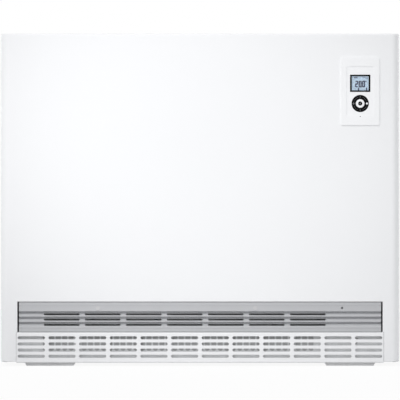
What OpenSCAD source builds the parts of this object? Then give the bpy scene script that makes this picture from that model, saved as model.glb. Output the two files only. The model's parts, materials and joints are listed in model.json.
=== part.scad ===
// Fan-assisted storage heater: a brick core charged by heating elements, inside an insulated
// steel casing. A cross-flow fan draws room air in at the foot and blows it up through the core.
// The front faces -Y, +Z is up, and the origin is on the floor, in the middle of the footprint.

/* [Casing] */
// Thickness of the outer casing sheet
sheet_t = 1.2; // [0.8:0.1:1.6]
// Thickness of the inner lining sheet
liner_t = 0.8; // [0.5:0.1:1.2]
// Outer radius of the front panel's upright bends
corner_r = 14; // [8:1:20]
// Outer radius of the bends along the top edges
edge_r = 3; // [2:0.5:5]
// How far the front panel wraps round onto the sides and the top
front_wrap = 34; // [28:1:44]
// Width of the folded stiffening flanges
flange_w = 12; // [8:1:14]
// Gap at each visible seam
seam_gap = 0.6; // [0.3:0.1:1]
// Height of the skirt along the top cover's edges
skirt_h = 14; // [10:1:20]
// Air gap between the front panel and the inner lining
front_gap = 11; // [9:0.5:16]
// Air gap on the left, between the lining and the side panel
left_gap = 57; // [30:1:120]
// Air gap under the top cover
lid_gap = 6.8; // [4:0.2:20]
// Clear width of the electrical bay on the right
bay_w = 113; // [105:1:140]
// Width of the front panel's columns beside the intake strip
column_w = 30; // [26:1:50]
// How much narrower the grille's opening is than the strip's, on each side
reveal = 2.5; // [1:0.5:5]

/* [Core] */
// Number of brick columns
brick_columns = 3; // [2:1:7]
// Number of brick layers, two for each heating element
brick_layers = 6; // [4:2:8]
// Width of one storage brick
brick_w = 175; // [150:1:190]
// Depth of one storage brick
brick_d = 165; // [150:1:190]
// Height of one storage brick
brick_h = 70; // [60:1:80]
// Thickness of the front insulation slab
ins_front_t = 32; // [25:1:45]
// Thickness of the rear insulation slab
ins_rear_t = 32; // [25:1:45]
// Thickness of the side insulation slabs
ins_side_t = 40; // [30:1:50]
// Thickness of the floor insulation slab
ins_floor_t = 30; // [20:1:45]
// Thickness of the rigid top insulation slab
ins_top_t = 36; // [28:1:50]
// Thickness of the soft mat over the top slab
mat_t = 28; // [15:1:40]
// Clearance round the core and between fitted sheets
fit = 0.5; // [0.3:0.1:0.8]
// Depth of the air channel that turns over the top of the core
turn_h = 16; // [10:1:20]

/* [Air channels and heating elements] */
// Air channels across each row of a brick
channels = 3; // [2:1:3]
// Width of one air channel
channel_w = 36; // [24:1:38]
// Depth of one air channel
channel_d = 16; // [10:1:20]
// Distance of each channel row from the core's middle
channel_off = 52; // [46:1:60]
// Diameter of a heating element's tube
element_d = 8.5; // [6.5:0.5:10]
// Distance of each element leg from the core's middle
element_off = 24; // [18:1:30]
// Clearance of a tube in its groove or hole
element_play = 0.5; // [0.3:0.1:1]

/* [Feet] */
// Height of the feet
foot_h = 8; // [6:0.5:20]
// Width of a foot where it meets the base
foot_w = 100; // [80:1:140]
// Inward slope of a foot's sides
foot_slope = 4; // [1:0.5:5]
// Length of a foot, front to back
foot_l = 226; // [180:1:232]
// Distance of each foot's middle from the casing's side
foot_inset = 96; // [80:1:160]
// Thickness of a foot's sheet
foot_t = 2; // [1.5:0.1:3]
// Radius of the holes for screws into the floor
floor_hole_r = 4.5; // [3:0.1:6]
// Distance between a foot's two floor holes
floor_hole_pitch = 150; // [120:1:160]
// Distance between a foot's two outer screws
foot_screw_pitch = 180; // [150:1:184]

/* [Base and duct] */
// Clear height of the duct under the core
duct_h = 116.8; // [112:0.2:140]
// Thickness of the deck that carries the core
deck_t = 2; // [1.5:0.1:3]
// Height of the base pan's raised edges
pan_flange_h = 16; // [10:1:24]

/* [Intake strip] */
// Height of the slotted strip
strip_h = 59.5; // [56:0.5:66]
// How far the strip's lower lip hangs below the base
strip_drop = 2; // [1.6:0.1:4]
// Distance from one slot to the next along a row
slot_pitch = 60; // [50:1:80]
// Length of one slot
slot_l = 53; // [40:1:55]
// Height of one slot
slot_h = 6; // [4:0.5:8]
// Number of slot rows
slot_rows = 4; // [2:1:4]
// Distance between slot rows
row_pitch = 12; // [10:0.5:13]
// Height of the lowest row's middle above the strip's lower edge
row_z = 12.8; // [10:0.1:16]

/* [Intake screen] */
// Gap between the strip and the perforated screen
screen_gap = 9; // [6:0.5:10]
// Distance between the screen's upright slots
hole_pitch = 12.7; // [11:0.1:20]
// Width of one upright slot
hole_w = 9.2; // [5:0.1:10]
// Height of one upright slot
hole_h = 33; // [20:1:34]
// Height of the slots' lower ends above the base pan
hole_z = 19.8; // [14:0.2:24]

/* [Outlet grille] */
// How far the grille sits behind the front panel's face
grille_recess = 2.2; // [0.5:0.1:3]
// Height of the grille
grille_h = 58.2; // [56:0.1:64]
// Gap at each end of the grille
grille_end_gap = 3; // [1:0.1:5]
// Gap above and below the grille
grille_gap = 1; // [0.3:0.1:1.5]
// Height of the grille's flat upper flange
upper_flange = 17.8; // [14:0.1:19]
// Distance between louvres
louvre_pitch = 10.3; // [8:0.1:10.6]
// Number of louvres
louvres = 3; // [2:1:3]
// Depth of a louvre, nose to valley
louvre_d = 6; // [4:0.5:8]
// Thickness of the grille's wall, measured front to back
grille_t = 2.2; // [1.6:0.1:3]
// Depth of the grille's upper and lower returns
grille_return = 9; // [6:0.1:9.6]
// Length of one outlet slot
outlet_l = 69.7; // [50:0.1:100]
// Bridge left between two outlet slots
outlet_web = 10.6; // [6:0.1:20]
// Height of one outlet slot
outlet_h = 3.4; // [2:0.1:4.5]
// Plain length at the grille's left end
outlet_start = 49; // [20:1:80]
// Plain length at the grille's right end
outlet_end = 108; // [80:1:150]

/* [Fan] */
// Radius of the fan wheel
wheel_r = 30; // [24:0.5:31]
// Radius inside the fan wheel's blades
wheel_bore_r = 22; // [17:0.5:23]
// Number of blades
blades = 26; // [16:1:32]
// Thickness of a blade
blade_t = 0.7; // [0.5:0.1:1]
// Number of blade sections along the wheel
wheel_sections = 3; // [1:1:5]
// Thickness of the wheel's discs
disc_t = 1.2; // [0.8:0.1:2]
// Height of the fan's axis above the base pan
fan_h = 47; // [44:0.5:52]
// Distance of the fan's axis behind the casing's middle
fan_y = 60; // [56:0.5:64]
// Gap between the wheel and its scroll
scroll_gap = 4; // [3:0.5:5]
// Radius of the fan's shaft
shaft_r = 3; // [2.5:0.1:4]
// Radial running clearance of shafts in their bearings
run_fit = 0.05; // [0.02:0.01:0.09]
// Length of the motor's lamination stack
stack_l = 20; // [14:1:30]

/* [Air damper] */
// Height of the bypass window that the damper closes
window_h = 30; // [20:1:32]
// Radius of the damper's pivot pins
damper_pin_r = 2; // [1.5:0.1:2.5]
// How far the damper's lower edge overlaps the window
damper_lap = 3; // [2:0.5:5]

/* [Control unit] */
// How far the control unit's housing is set in from the bay's left wall
control_inset = 2.9; // [1:0.1:16]
// Distance of the control unit's middle from the top
control_drop = 112.3; // [100:0.1:200]
// Width of the bezel's rim
bezel_w = 75.6; // [72:0.2:84]
// Height of the bezel's rim
bezel_h = 133.4; // [126:0.2:150]
// How far the rim stands out of the front panel
bezel_proud = 2; // [1.6:0.1:3]
// Width of the bezel's recessed field
field_w = 53.6; // [52:0.2:62]
// Height of the bezel's recessed field
field_h = 96; // [94:0.5:110]
// Depth of the recessed field
field_d = 1; // [0.6:0.1:1.2]
// Depth of the control unit's housing behind the panel
housing_d = 23; // [21:0.5:30]
// Wall thickness of the housing
housing_t = 2; // [1.6:0.1:2.4]
// Width of the display frame
display_w = 39.4; // [34:0.2:44]
// Height of the display frame
display_h = 33.3; // [28:0.1:34]
// Border of the display frame round the window
display_border = 3; // [2:0.1:5]
// Height of the display's middle above the control unit's middle
display_up = 15.2; // [14:0.1:17]
// Depth of the control ring's middle below the control unit's middle
ring_down = 24.4; // [23:0.1:27]
// Outer radius of the rocking control ring
ring_r = 16.4; // [15.5:0.1:17]
// Inner radius of the rocking control ring
ring_bore_r = 9.4; // [9.3:0.1:10.3]
// Gap between the ring and the bezel
ring_gap = 0.5; // [0.4:0.05:0.8]
// Radius of the middle button
button_r = 8.5; // [7:0.1:8.8]
// Radius of the dark cap on the middle button
cap_r = 4; // [3:0.1:6]
// Travel of the middle button
button_travel = 0.8; // [0.4:0.1:0.9]

/* [Fasteners and entries] */
// Height of a casing screw's head
screw_head_h = 2.1; // [1.5:0.1:3]
// Radius of a casing screw's head
screw_head_r = 3.8; // [3:0.1:4.5]
// Radius of a casing screw's shank
screw_r = 1.9; // [1.4:0.1:2.2]
// Radial clearance of a screw in its hole
screw_play = 0.15; // [0.1:0.05:0.3]
// Distance between the two wall fixing holes
wall_hole_pitch = 500; // [300:5:560]
// Radius of the wall fixing holes
wall_hole_r = 4.5; // [3:0.1:6]
// Radius of the cable entry's bore
entry_r = 8; // [5:0.1:9]
// Height of the cable entry above the base pan
entry_h = 66; // [60:1:90]

/* [Electrical bay] */
// Radius of the power leads
lead_r = 1.6; // [1:0.1:1.8]
// Width of the charge controller, front to back
controller_w = 70; // [56:1:72]
// Height of the charge controller
controller_h = 130; // [110:1:180]
// Depth of the charge controller
controller_d = 32; // [24:1:60]
// Free edge of the controller's mounting plate
controller_lip = 10; // [6:1:14]
// Gap between the controller and the nearest element leg
controller_gap = 16; // [14:1:18]
// Number of mains terminals
terminals = 6; // [3:1:7]
// Distance from one terminal to the next
terminal_pitch = 12; // [9:0.5:13]
// Height of a terminal
terminal_h = 16.5; // [12:0.5:22]
// Length of a terminal
terminal_l = 26; // [20:1:36]
// Gap between the terminals and the rear panel
tray_gap = 20; // [16:1:28]
// Thickness of mounting plates in the bay
plate_t = 1.5; // [1:0.1:2.5]
// Radius of the collar of an element's bush
bush_r = 7; // [6:0.1:9]
// Overhang of a bush's flange
bush_lip = 3; // [2:0.1:4]
// Length of a bush
bush_l = 14; // [10:0.5:17]
// Radius of the element's terminal stud
stud_r = 2; // [1.5:0.1:2.5]
// Length of a terminal stud
stud_l = 16; // [14:0.5:20]
// Thickness of a stud's nut
nut_t = 3.2; // [2.5:0.1:4]
// Thickness of a lead's ring lug
lug_t = 1.6; // [1:0.1:2]
// How far before a corner a lead starts to curve
lead_ease = 6; // [3:0.5:7]

/* [Hidden] */
$fn = 48;
eps = 0.01; // overlap that makes a cut clean
through = 400; // longer than any wall that is drilled

// Overall size, added up from the core outwards
core_w = brick_columns * brick_w;
core_h = brick_layers * brick_h;
total_w = 2 * sheet_t + left_gap + 2 * liner_t + 2 * ins_side_t + 2 * fit + core_w + bay_w;
total_d = bezel_proud + sheet_t + front_gap + liner_t + ins_front_t + brick_d + ins_rear_t
        + 3 * fit + 2 * sheet_t + screw_head_h;
total_h = foot_h + sheet_t + duct_h + deck_t + ins_floor_t + core_h + ins_top_t + mat_t
        + lid_gap + sheet_t;

// Planes, front to back
face_y = -total_d / 2 + bezel_proud;
liner_y = face_y + sheet_t + front_gap;
slab_y = liner_y + liner_t;
core_y = slab_y + ins_front_t + fit;
rear_slab_y = core_y + brick_d + fit;
rear_y = rear_slab_y + ins_rear_t + fit;
back_y = rear_y + 2 * sheet_t;
seam_y = face_y + front_wrap + seam_gap;
core_mid_y = core_y + brick_d / 2;

// Planes, left to right
side_x = total_w / 2;
inside_x = side_x - sheet_t;
bay_x = inside_x - bay_w;
right_slab_x = bay_x - liner_t - ins_side_t;
core_x = right_slab_x - fit - core_w;
left_slab_x = core_x - fit - ins_side_t;
left_liner_x = left_slab_x - liner_t;

// Planes, bottom to top
pan_top = foot_h + sheet_t;
deck_z = pan_top + duct_h;
deck_top = deck_z + deck_t;
core_z = deck_top + ins_floor_t;
core_top = core_z + core_h;
mat_z = core_top + ins_top_t;
lining_top = mat_z;
panel_z = foot_h + seam_gap;
side_top = total_h - skirt_h - seam_gap;

// Openings in the front
strip_z = foot_h - strip_drop;
strip_top = strip_z + strip_h;
strip_half = side_x - column_w - seam_gap;
grille_half = side_x - column_w - reveal - grille_end_gap;
grille_z = strip_top + grille_gap;
opening_top = grille_z + grille_h + grille_gap;
opening_flange = 9;
screen_y = face_y + sheet_t + screen_gap;

// Outlet slots and intake slots
outlet_pitch = outlet_l + outlet_web;
outlet_field = 2 * grille_half - outlet_start - outlet_end;
outlets = max(1, floor((outlet_field + outlet_web) / outlet_pitch + 0.5));
slot_columns = floor((2 * strip_half + slot_pitch - slot_l) / slot_pitch);
hole_count = floor(core_w / hole_pitch) + 1;
first_hole_x = core_x - hole_pitch;

// Fan
fan_z = pan_top + fan_h;
scroll_r = wheel_r + scroll_gap;
plate_left_x = core_x + 8;
plate_right_x = right_slab_x - 62;
wheel_x = plate_left_x + liner_t + 8;
wheel_l = plate_right_x - wheel_x - 8;
guide_z = strip_top + grille_gap;
tongue_y = fan_y - scroll_r - 2;
motor_x = plate_right_x + 18;
stator_w = 58;
stator_r = 13.4;
bore_gap = 0.6;

// Damper
damper_z = deck_z - 7;
damper_y = tongue_y - damper_pin_r - 0.5;
window_z = damper_z - 3 - window_h;
damper_pin_out = 4;

// Control unit
control_z = total_h - control_drop;
bezel_y = face_y - bezel_proud;
field_y = bezel_y + field_d;
wall_back_y = field_y + housing_t;
display_z = control_z + display_up;
ring_z = control_z - ring_down;
housing_w = bezel_w - 6;
control_x = bay_x + control_inset + housing_w / 2;
housing_h = bezel_h - 6;
ring_front_y = field_y - 0.6;
ring_t = 2.2;
ring_back_y = ring_front_y + ring_t;
gimbal_t = 1.6;
pivot_y = ring_back_y + 2.15;
gimbal_r = 13.2;
gimbal_bore_r = 10.5;
pin_r = 0.6;
frame_y = pivot_y + 2.45;
frame_t = 1.4;
ear_x = ring_r + 1;
ear_t = 2;
board_y = frame_y + 5.8;
board_t = 1.6;

// Fasteners
hole_r = screw_r + screw_play;
grille_screw_x = [-200, 108];
grille_screw_z = opening_top - grille_gap - 11.5;
side_screw_z = [opening_top + 20, total_h - 90];
seam_screw_x = inside_x - flange_w / 2;

// Casing details
rear_screw_z = [foot_h + 52, total_h / 2, side_top - 36];
pan_screw_y = [-60, 90];
pan_rear_x = 200;
wall_z = total_h - 24;
lid_screw_x = side_x - 90;
lid_screw_z = total_h - 7.5;
entry_x = bay_x + bay_w / 2;
entry_wall = 3;
bay_vent_low = pan_top + 100;
bay_vent_high = side_top - 80;
foot_x = side_x - foot_inset;
foot_lip = 14;
foot_screws = [for (sx = [-1, 1], sy = [-1, 1]) [foot_x + sx * (foot_w / 2 - 8), sy * foot_screw_pitch / 2]];

// Grille, strip and screen details
grille_y = face_y + grille_recess;
outlet_x = -grille_half + outlet_start + outlet_l / 2;
outlet_rise = 3.9;
groove_d = 0.5;
groove_w = 0.8;
spare_hole_x = 278;
strip_bend = 2;
screen_t = 1;
screen_flange = 14;
screen_screw_x = [-300, -100, 100, 300];
room_sensor_x = bay_x + 29;
room_sensor_z = pan_top + 40;
room_hole_r = 6;

// Core details
element_z = [for (k = [1:2:brick_layers - 1]) core_z + k * brick_h];
element_bend_x = core_x + 42;
element_end_x = bay_x - liner_t + bush_l + 4;
deck_flange = 20;
lip_y = max(liner_y, grille_y + grille_return + fit);
lip_z = min(deck_z - deck_flange, grille_screw_z - 5);
mat_step = 12;
brick_gap = 0.3;
sensor_z = core_top - brick_h;
sensor_r = 3;
sensor_in = 60;

// Fan and damper details
bearing_seat_r = 8;
blade_r = 6;
hub_r = 7;
hub_l = 10;
stator_low = 19;
stator_up = 48;
limb_w = 11;
post_y = 22;
damper_lug_x = [plate_left_x + 4, plate_right_x - 6];
horn_x = -60;

// Control unit details
stem_r = 4;
lug_mid = gimbal_r + 1.7;
peg_r = 14.6;
peg_y = frame_y + 2.3;
mat_top_y = peg_y + 1.3;
gimbal_pin_l = 6;
button_y = bezel_y + 0.1;
button_back_y = mat_top_y - button_travel - 0.3;
post_r = 2;
frame_posts = [for (sx = [-1, 1], z = [-52, -8, 54]) [sx * 29, z]];
field_bottom_dot_z = control_z - field_h / 2 - 1.6;

// Electrical bay details
controller_z = core_z + 60;
terminal_z = pan_top + entry_h + entry_r + entry_wall + tray_gap + terminal_h / 2 + 4.75;
terminal_y = rear_y - fit - tray_gap / 2 - terminal_l / 2;
cutout_y = -70;
cutout_z = core_z + 60;
reset_r = 2.5;

// ---- Shared shapes ----

// Quarter ring, the section of a sheet bent through a right angle
module bend(r, t) {
    difference() {
        intersection() {
            circle(r);
            square(r);
        }
        circle(r - t);
    }
}

// Rectangle with round corners, centred
module rounded(w, h, r) {
    square([w - 2 * r, h], center = true);
    square([w, h - 2 * r], center = true);
    for (x = [-1, 1], y = [-1, 1])
        translate([x * (w / 2 - r), y * (h / 2 - r)]) circle(r);
}

// Long hole with round ends, centred, lying along X
module obround(l, w) {
    square([l - w, w], center = true);
    for (s = [-1, 1]) translate([s * (l - w) / 2, 0]) circle(w / 2);
}

// Box from one corner to the opposite one
module block(low, high) translate(low) cube(high - low);

// Extrudes a drawing of (x, z) towards the back, from y
module facing(y, depth) translate([0, y + depth, 0]) rotate([90, 0, 0]) linear_extrude(depth) children();

// Extrudes a section of (y, z) along X, from x
module along_x(x, length) translate([x, 0, 0]) rotate([90, 0, 90]) linear_extrude(length) children();

// Cylinders along each axis, starting at a point
module rod_x(p, r, l) translate(p) rotate([0, 90, 0]) cylinder(r = r, h = l);
module rod_y(p, r, l) translate(p) rotate([-90, 0, 0]) cylinder(r = r, h = l);

// Pan-head screw whose head stands on a face at p and whose shank runs towards +Y
module screw_y(p, l) {
    rod_y([p[0], p[1] - screw_head_h, p[2]], screw_head_r, screw_head_h);
    rod_y(p, screw_r, l);
}

// Copies a right-hand piece to the left as well
module both_sides() {
    children();
    mirror([1, 0, 0]) children();
}

// ---- Casing ----

// Quarter disc in the first quadrant
module quarter(r) {
    intersection() {
        circle(r);
        square(r);
    }
}

// Plan of the front panel's outline, filled: round at the front corners, square at the back
module front_plan(half, r, y0, y1) {
    translate([-half + r, y0]) square([2 * (half - r), y1 - y0]);
    for (s = [0, 1]) mirror([s, 0]) {
        translate([half - r, y0 + r]) square([r, y1 - y0 - r]);
        translate([half - r, y0 + r]) mirror([0, 1]) quarter(r);
    }
}

// Filled form of the front panel, shrunk by inset, from z0 up and back to y1
module front_form(inset, z0, y1) {
    half = side_x - inset;
    y0 = face_y + inset;
    c = corner_r - inset;
    e = edge_r - inset;
    brow = total_h - edge_r;
    translate([0, 0, z0]) linear_extrude(brow - z0) front_plan(half, c, y0, y1);
    translate([0, 0, brow]) linear_extrude(e) front_plan(half - e, c - e, y0 + e, y1);
    translate([0, 0, brow]) {
        along_x(-(half - c), 2 * (half - c)) translate([y0 + e, 0]) mirror([1, 0]) quarter(e);
        both_sides() {
            facing(y0 + c, y1 - y0 - c) translate([half - e, 0]) quarter(e);
            translate([half - c, y0 + c, 0]) rotate([0, 0, -90])
                rotate_extrude(angle = 90) translate([c - e, 0]) quarter(e);
        }
    }
}

module front_panel() {
    end_y = face_y + front_wrap;
    open_half = side_x - column_w;
    color("White") difference() {
        union() {
            difference() {
                front_form(0, panel_z, end_y);
                front_form(sheet_t, panel_z - 1, end_y - sheet_t);
                block([-(inside_x - flange_w), end_y - 2 * sheet_t, panel_z - 1],
                      [inside_x - flange_w, end_y + 1, total_h - sheet_t - flange_w]);
            }
            both_sides() {
                block([open_half, face_y + eps, panel_z],
                      [open_half + sheet_t, face_y + opening_flange, strip_top]);
                block([open_half - reveal, face_y + eps, strip_top],
                      [open_half - reveal + sheet_t, face_y + opening_flange, opening_top + sheet_t]);
            }
            block([-(open_half - reveal), face_y + eps, opening_top],
                  [open_half - reveal, face_y + opening_flange, opening_top + sheet_t]);
        }
        block([-open_half, face_y - 1, panel_z - 1], [open_half, face_y + sheet_t + 1, strip_top]);
        block([-(open_half - reveal), face_y - 1, strip_top - 1],
              [open_half - reveal, face_y + sheet_t + 1, opening_top]);
        block([-inside_x, face_y + sheet_t, panel_z - 1], [inside_x, end_y + 1, pan_top + 0.3]);
        facing(face_y - 1, 4) translate([control_x, control_z]) rounded(housing_w + 1, housing_h + 1, 3);
        both_sides() for (z = side_screw_z) rod_y([seam_screw_x, end_y - 3, z], hole_r, 5);
    }
}

module side_panel_right() {
    color("White") difference() {
        translate([0, 0, pan_top]) linear_extrude(side_top - pan_top) difference() {
            translate([inside_x - flange_w, seam_y]) square([flange_w + sheet_t, rear_y + sheet_t - seam_y]);
            translate([side_x - edge_r, rear_y + sheet_t - edge_r]) difference() {
                square(edge_r + 1);
                circle(edge_r);
            }
        }
        block([inside_x - flange_w - 1, seam_y + sheet_t, pan_top + sheet_t],
              [inside_x, rear_y, side_top - sheet_t]);
        for (z = side_screw_z) rod_y([seam_screw_x, seam_y - 1, z], hole_r, 4);
        for (z = rear_screw_z) rod_y([seam_screw_x, rear_y - 1, z], hole_r, 4);
        for (y = pan_screw_y) translate([seam_screw_x, y, pan_top - 1]) cylinder(r = hole_r, h = 4);
    }
}

module side_panel_left() mirror([1, 0, 0]) side_panel_right();

module rear_panel() {
    half = side_x - edge_r;
    lap_half = inside_x - flange_w - 6;
    color("Gainsboro") difference() {
        union() {
            facing(back_y - sheet_t, sheet_t) translate([-half, panel_z]) square([2 * half, side_top - panel_z]);
            facing(rear_y, sheet_t) translate([-lap_half, lining_top - 2])
                square([2 * lap_half, total_h - lining_top - 2]);
            facing(rear_y + eps, sheet_t) translate([-lap_half, lining_top - 2])
                square([2 * lap_half, side_top - lining_top + 2]);
        }
        both_sides() {
            for (z = rear_screw_z) rod_y([seam_screw_x, rear_y - 1, z], hole_r, 6);
            rod_y([pan_rear_x, rear_y - 1, pan_top + pan_flange_h / 2], hole_r, 6);
            rod_y([wall_hole_pitch / 2, rear_y - 1, wall_z], wall_hole_r, 6);
            rod_y([lid_screw_x, rear_y - 1, lid_screw_z], hole_r, 6);
        }
        rod_y([entry_x, rear_y - 1, pan_top + entry_h], entry_r + entry_wall, 6);
        facing(rear_y - 1, 6) for (i = [0:6], z = [bay_vent_low, bay_vent_high])
            translate([bay_x + bay_w / 2, z + i * 9]) obround(60, 4, $fn = 24);
    }
}

module top_cover() {
    low = total_h - skirt_h;
    color("White") difference() {
        intersection() {
            facing(seam_y, back_y - seam_y) lid_profile(side_x, edge_r, low, total_h);
            along_x(-side_x, 2 * side_x) difference() {
                translate([seam_y, low]) square([back_y - seam_y, skirt_h]);
                translate([back_y - edge_r, total_h - edge_r]) difference() {
                    square(edge_r + 1);
                    circle(edge_r);
                }
            }
        }
        intersection() {
            facing(seam_y + sheet_t, back_y - seam_y - 2 * sheet_t)
                lid_profile(inside_x, edge_r - sheet_t, low - 1, total_h - sheet_t);
            along_x(-side_x, 2 * side_x) difference() {
                translate([seam_y, low - 1]) square([back_y - sheet_t - seam_y, skirt_h + 1 - sheet_t]);
                translate([back_y - edge_r, total_h - edge_r]) difference() {
                    square(edge_r);
                    circle(edge_r - sheet_t);
                }
            }
        }
        both_sides() rod_y([lid_screw_x, back_y - 3, lid_screw_z], hole_r, 5);
    }
}

// Front view of the lid: a rectangle whose two upper corners are round
module lid_profile(half, r, low, high) {
    translate([-half, low]) square([2 * half, high - r - low]);
    translate([-half + r, high - r]) square([2 * (half - r), r]);
    for (s = [0, 1]) mirror([s, 0]) translate([half - r, high - r]) quarter(r);
}

module base_pan() {
    half = side_x - 2;
    color("LightGray") difference() {
        union() {
            block([-half, face_y + sheet_t + fit, foot_h], [half, rear_y + sheet_t, pan_top]);
            block([-(inside_x - flange_w - fit), rear_y, foot_h],
                  [inside_x - flange_w - fit, rear_y + sheet_t, foot_h + pan_flange_h]);
        }
        both_sides() {
            rod_y([pan_rear_x, rear_y - 1, pan_top + pan_flange_h / 2], hole_r, 4);
            for (y = pan_screw_y) translate([seam_screw_x, y, foot_h - 1]) cylinder(r = hole_r, h = 4);
            for (y = [-1, 1]) translate([foot_x, y * floor_hole_pitch / 2, foot_h - 1])
                cylinder(r = 2 * floor_hole_r, h = 4);
            for (p = foot_screws) translate([p[0], p[1], foot_h - 1]) cylinder(r = hole_r, h = 4);
        }
        for (i = [0:8]) translate([(foot_x + foot_w / 2 + inside_x - flange_w) / 2, -30 + i * 12, foot_h - 1])
            linear_extrude(4) obround(inside_x - flange_w - foot_x - foot_w / 2 - 6, 5, $fn = 24);
    }
}

// Trapezium seen from the front, w wide at the top
module foot_profile(w, low, high) {
    polygon([[-w / 2 + foot_slope * (1 - low / foot_h), low], [w / 2 - foot_slope * (1 - low / foot_h), low],
             [w / 2 - foot_slope * (1 - high / foot_h), high], [-w / 2 + foot_slope * (1 - high / foot_h), high]]);
}

module foot_right() {
    color("Silver") difference() {
        translate([foot_x, 0, 0]) facing(-foot_l / 2, foot_l) foot_profile(foot_w, 0, foot_h);
        translate([foot_x, 0, 0]) facing(-foot_l / 2 + foot_t, foot_l - 2 * foot_t)
            foot_profile(foot_w - 2 * foot_t, foot_t, foot_h - foot_t);
        translate([foot_x, 0, 0]) facing(-foot_l / 2 + foot_t, foot_l - 2 * foot_t)
            translate([-(foot_w / 2 - foot_lip), foot_h - 2 * foot_t]) square([foot_w - 2 * foot_lip, 3 * foot_t]);
        for (y = [-1, 1]) translate([foot_x, y * floor_hole_pitch / 2, -1])
            cylinder(r = floor_hole_r, h = foot_h);
        for (p = foot_screws) translate([p[0], p[1], foot_h - foot_t - 1]) cylinder(r = hole_r, h = 6);
    }
}

module foot_left() mirror([1, 0, 0]) foot_right();

// Room round the heads of the foot screws, where they stand on the base pan
module foot_screw_room() {
    both_sides() for (p = foot_screws) translate([p[0], p[1], pan_top - 1])
        cylinder(r = screw_head_r + 2 * screw_play, h = screw_head_h + 1 + fit);
}

// ---- Openings in the front ----

// Section through the grille's front line, from the bottom up: flat, then louvres, then flat
function louvre_nose(k) = grille_z + grille_h - upper_flange - k * louvre_pitch;
grille_line = concat(
    [[0, grille_z], [0, louvre_nose(louvres)]],
    [for (k = [louvres:-1:1], p = [[louvre_d, louvre_nose(k - 1) - louvre_d / 2], [0, louvre_nose(k - 1)]]) p],
    [[0, grille_z + grille_h]]);

module air_outlet_grille() {
    last = len(grille_line) - 1;
    color("Silver") difference() {
        along_x(-grille_half, 2 * grille_half) translate([grille_y, 0]) polygon(concat(grille_line,
            [[grille_return, grille_z + grille_h], [grille_return, grille_z + grille_h - grille_t]],
            [for (i = [last:-1:0]) grille_line[i] + [grille_t, i == last ? -grille_t : i == 0 ? grille_t : 0]],
            [[grille_return, grille_z + grille_t], [grille_return, grille_z]]));
        for (k = [1:louvres]) facing(grille_y - 1, louvre_d + grille_t + 2) for (i = [0:outlets - 1])
            translate([outlet_x + i * outlet_pitch, louvre_nose(k) + outlet_rise]) obround(outlet_l, outlet_h, $fn = 24);
        for (z = [grille_z + 6.5, grille_z + grille_h - 7.5]) along_x(-grille_half - 1, 2 * grille_half + 2)
            translate([grille_y - 1, z]) square([1 + groove_d, groove_w]);
        for (x = grille_screw_x) rod_y([x, grille_y - 1, grille_screw_z], hole_r, 6);
        rod_y([spare_hole_x, grille_y - 1, grille_screw_z], screw_r, 6);
    }
}

module intake_strip() {
    back = face_y + opening_flange;
    color("White") difference() {
        union() {
            facing(face_y, sheet_t) translate([-strip_half, strip_z + strip_bend])
                square([2 * strip_half, strip_h - 2 * strip_bend]);
            along_x(-strip_half, 2 * strip_half) {
                translate([face_y + strip_bend, strip_top - strip_bend]) mirror([1, 0]) bend(strip_bend, sheet_t);
                translate([face_y + strip_bend, strip_z + strip_bend]) rotate(180) bend(strip_bend, sheet_t);
                translate([face_y + strip_bend, strip_top - sheet_t]) square([back - face_y - strip_bend, sheet_t]);
                translate([face_y + strip_bend, strip_z]) square([back - face_y - strip_bend, sheet_t]);
            }
            both_sides() block([strip_half - sheet_t, face_y + sheet_t - eps, pan_top + fit],
                               [strip_half, back, strip_top - eps]);
        }
        facing(face_y - 1, sheet_t + 2) for (i = [0:slot_columns - 1], k = [0:slot_rows - 1])
            translate([(i - (slot_columns - 1) / 2) * slot_pitch, strip_z + row_z + k * row_pitch])
                obround(slot_l, slot_h, $fn = 24);
        both_sides() block([foot_x - foot_w / 2 - fit, -foot_l / 2 - fit, 0], [foot_x + foot_w / 2 + fit, 0, foot_h + fit]);
    }
}

module intake_screen() {
    half = inside_x - flange_w - 12;
    high = guide_z - fit;
    color("LightGray") difference() {
        union() {
            facing(screen_y, screen_t) translate([-half, pan_top]) square([2 * half, high - pan_top]);
            block([-half, screen_y, pan_top], [half, screen_y + screen_flange, pan_top + screen_t]);
            block([-half, screen_y, high - screen_t], [half, screen_y + screen_flange / 2, high]);
            for (x = [left_slab_x - 5, bay_x - 15]) block([x, screen_y - screen_t, pan_top + 4], [x + 5, screen_y, high - 4]);
        }
        facing(screen_y - 1, 4) for (i = [0:hole_count - 1])
            translate([first_hole_x + i * hole_pitch, pan_top + hole_z + hole_h / 2])
                rotate(90) obround(hole_h, hole_w, $fn = 24);
        rod_y([room_sensor_x, screen_y - 1, room_sensor_z], room_hole_r, 4);
        for (x = screen_screw_x) translate([x, screen_y + screen_flange / 2 + 1, pan_top - 1]) cylinder(r = hole_r, h = 4);
        foot_screw_room();
    }
}

// ---- Lining, deck and insulation ----

module inner_front_panel() {
    color("LightGray") {
        block([left_liner_x, liner_y, deck_top], [bay_x - liner_t, slab_y, lining_top]);
        block([left_liner_x, liner_y - flange_w / 2, lining_top - liner_t], [bay_x - liner_t, liner_y + eps, lining_top]);
    }
}

module inner_side_left() {
    color("LightGray") difference() {
        union() {
            block([left_liner_x, slab_y, pan_top], [left_slab_x, rear_y - fit, lining_top]);
            block([left_slab_x - eps, slab_y, pan_top], [left_slab_x + flange_w, rear_y - fit, pan_top + liner_t]);
        }
        block([left_liner_x - 1, slab_y - 1, pan_top - 1], [left_slab_x + flange_w + 1, screen_y + screen_flange + 1, guide_z]);
        for (y = [-60, 60]) translate([left_slab_x + flange_w / 2, y, pan_top - 1]) cylinder(r = hole_r, h = 4);
        foot_screw_room();
    }
}

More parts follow.
